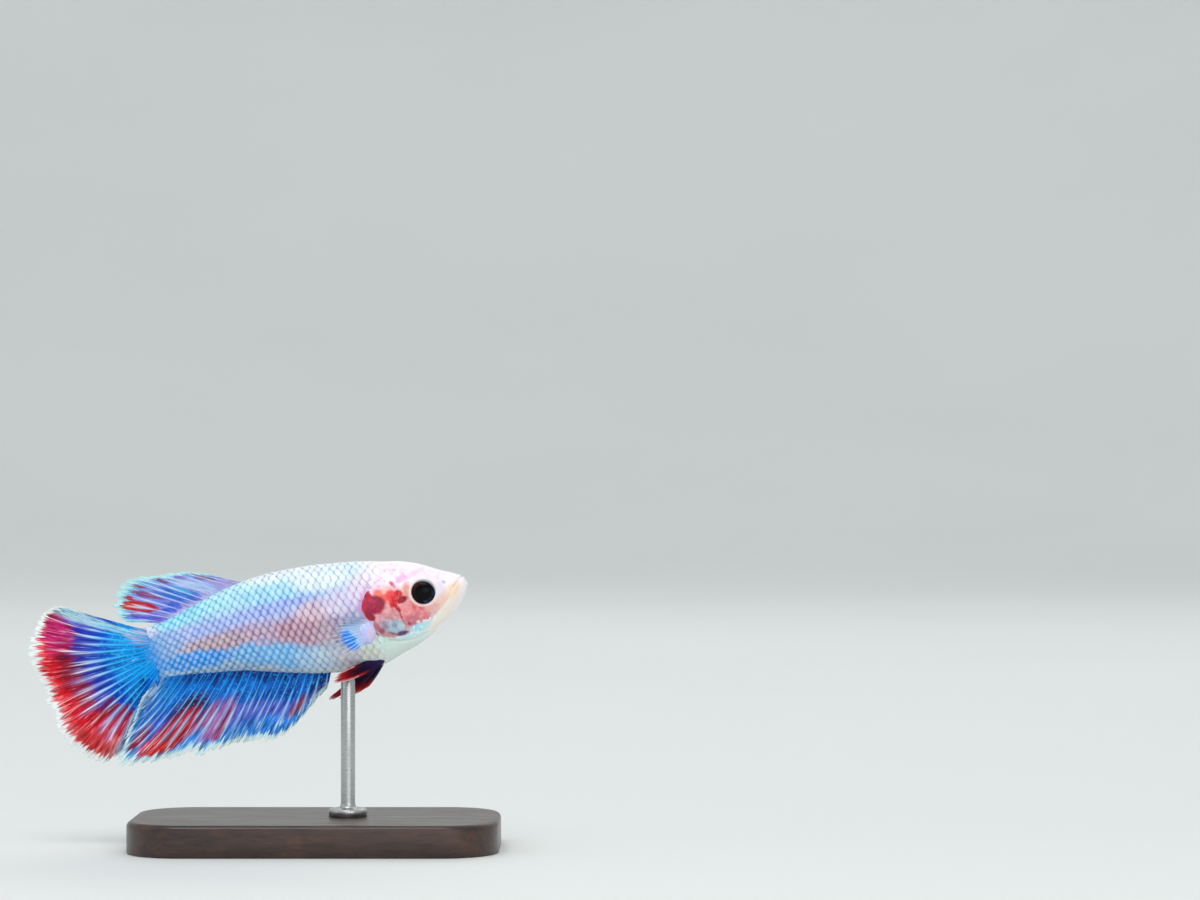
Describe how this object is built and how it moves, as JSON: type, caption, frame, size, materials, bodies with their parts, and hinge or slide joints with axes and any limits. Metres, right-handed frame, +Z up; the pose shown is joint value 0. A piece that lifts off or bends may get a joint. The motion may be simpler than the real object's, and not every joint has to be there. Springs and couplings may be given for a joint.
{
  "type": "betta fish",
  "caption": "Life-size betta with pale blue scaled body, short fan-shaped blue and red fins, swimming nose up on a small display stand.",
  "frame": {"origin": "centre of the stand base's flat underside, on the fish's middle plane", "axes": "+X towards the snout, level, with the fish's body pitched 12.7 degrees nose up from it; +Y towards the fish's left side; +Z up"},
  "size_m": [0.0587, 0.024, 0.036],
  "materials": {
    "pink_white_head": "wet, finely scaled skin, satin",
    "cream_jaw": "smooth skin, satin",
    "red_gill_cover": "smooth skin, satin",
    "silver_blue_scales": "overlapping scales with a pearly sheen",
    "blue_red_fin": "ribbed by fin rays, satin",
    "dark_red_fin": "ribbed by fin rays, satin",
    "clear_fin": "thin and clear, ribbed by fin rays",
    "black_eye": "high gloss",
    "dark_wood": "stained and satin varnished",
    "steel_rod": "polished"
  },
  "bodies": {
    "root": {"head": "pink_white_head", "lower_jaw": "cream_jaw", "gill_cover_right": "red_gill_cover", "gill_cover_left": "red_gill_cover", "eye_right": "black_eye", "eye_left": "black_eye", "trunk": "silver_blue_scales", "tail_stalk": "silver_blue_scales", "dorsal_fin": "blue_red_fin", "caudal_fin": "blue_red_fin", "anal_fin": "blue_red_fin", "pelvic_fin_right": "dark_red_fin", "pelvic_fin_left": "dark_red_fin", "pectoral_fin_right": "clear_fin", "pectoral_fin_left": "clear_fin", "stand_base": "dark_wood", "stand_rod": "steel_rod"}
  },
  "joints": []
}
